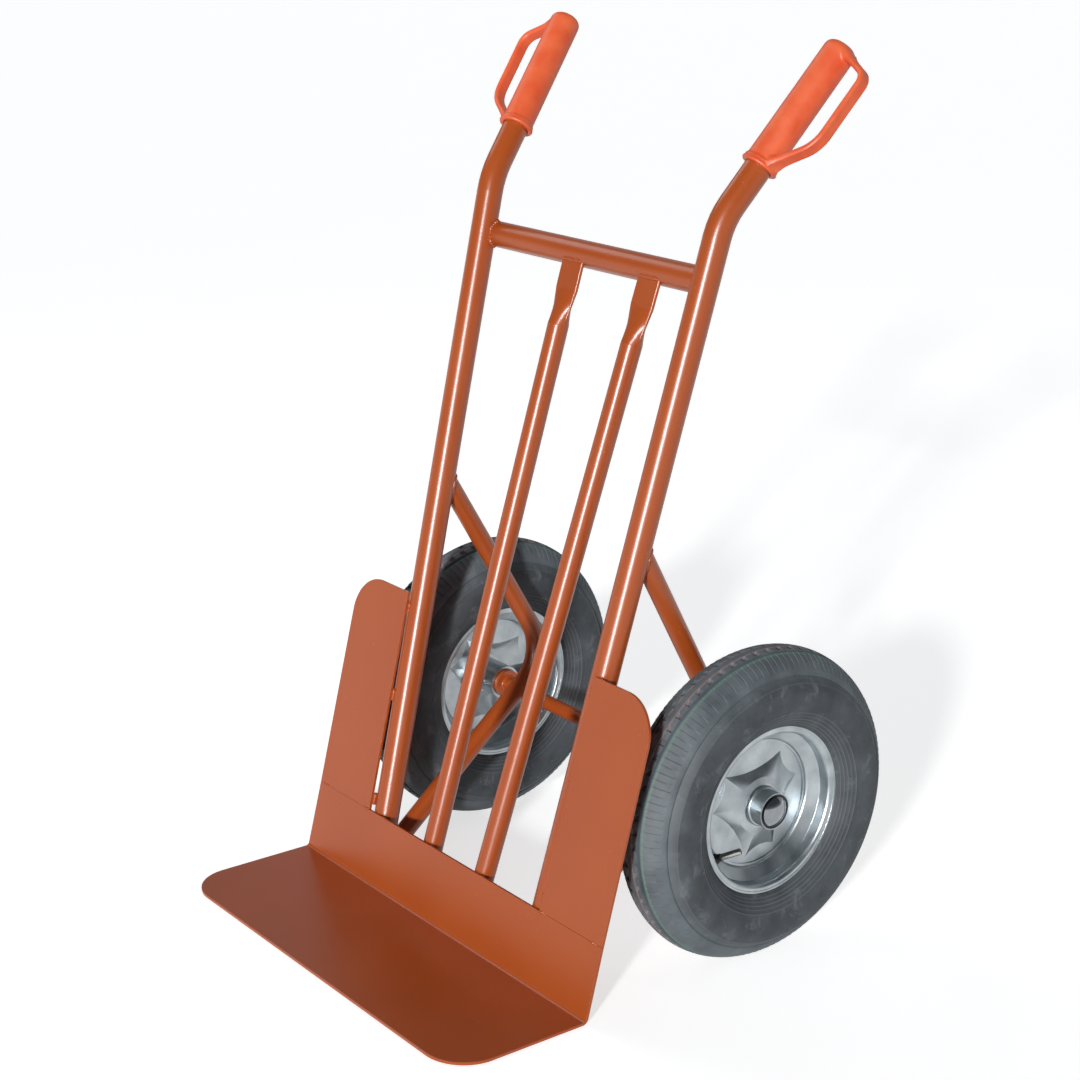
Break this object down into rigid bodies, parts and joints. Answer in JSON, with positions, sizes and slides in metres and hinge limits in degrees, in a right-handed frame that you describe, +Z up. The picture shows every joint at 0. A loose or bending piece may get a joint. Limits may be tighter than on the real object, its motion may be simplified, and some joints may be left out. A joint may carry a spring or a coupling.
{
  "type": "hand cart",
  "caption": "Upright hand cart with a bent toe plate, side plates, a leaning tube frame with guarded handle grips, and pneumatic wheels on a braced axle.",
  "frame": {"origin": "on the floor, in the middle of the width, halfway between the front edge of the toe plate and the back of the tyres", "axes": "+Z up, the toe plate points to -Y, the axle runs along X, and right as seen from the front is +X"},
  "size_m": [0.6532, 0.675, 1.1131],
  "materials": {
    "frame_paint": "glossy red-brown paint over welded steel",
    "grip_vinyl": "soft orange vinyl with a dull sheen",
    "tyre_rubber": "dusty moulded rubber",
    "soft_rubber": "smooth black rubber",
    "zinc_plate": "bright zinc plate on pressed steel",
    "cap_chrome": "mirror chrome",
    "bearing_steel": "ground and oiled",
    "cage_plastic": "moulded",
    "valve_metal": "nickel plated"
  },
  "bodies": {
    "frame": {"toe_plate": "frame_paint", "cross_tube": "frame_paint", "axle": "frame_paint", "left_side_plate": "frame_paint", "left_rail": "frame_paint", "left_bar": "frame_paint", "left_brace": "frame_paint", "left_axle_collar": "frame_paint", "left_thrust_washers": "bearing_steel", "left_spacer": "bearing_steel", "left_retaining_clip": "bearing_steel", "left_grip": "grip_vinyl", "right_side_plate": "frame_paint", "right_rail": "frame_paint", "right_bar": "frame_paint", "right_brace": "frame_paint", "right_axle_collar": "frame_paint", "right_thrust_washers": "bearing_steel", "right_spacer": "bearing_steel", "right_retaining_clip": "bearing_steel", "right_grip": "grip_vinyl"},
    "left_wheel": {"left_tyre": "tyre_rubber", "left_inner_tube": "soft_rubber", "left_valve_stem": "soft_rubber", "left_valve_cap": "valve_metal", "left_rim": "zinc_plate", "left_wheel_disc": "zinc_plate", "left_hub": "zinc_plate", "left_bearing_races": "bearing_steel", "left_bearing_rollers": "bearing_steel", "left_bearing_cages": "cage_plastic", "left_hub_cap": "cap_chrome", "left_cap_ring": "soft_rubber"},
    "right_wheel": {"right_tyre": "tyre_rubber", "right_inner_tube": "soft_rubber", "right_valve_stem": "soft_rubber", "right_valve_cap": "valve_metal", "right_rim": "zinc_plate", "right_wheel_disc": "zinc_plate", "right_hub": "zinc_plate", "right_bearing_races": "bearing_steel", "right_bearing_rollers": "bearing_steel", "right_bearing_cages": "cage_plastic", "right_hub_cap": "cap_chrome", "right_cap_ring": "soft_rubber"}
  },
  "joints": [
    {"name": "left_wheel_spin", "type": "hinge", "parent": "frame", "child": "left_wheel", "pos_m": [-0.27329, 0.1375, 0.2], "axis": [1, 0, 0], "continuous": true},
    {"name": "right_wheel_spin", "type": "hinge", "parent": "frame", "child": "right_wheel", "pos_m": [0.27329, 0.1375, 0.2], "axis": [1, 0, 0], "continuous": true}
  ]
}
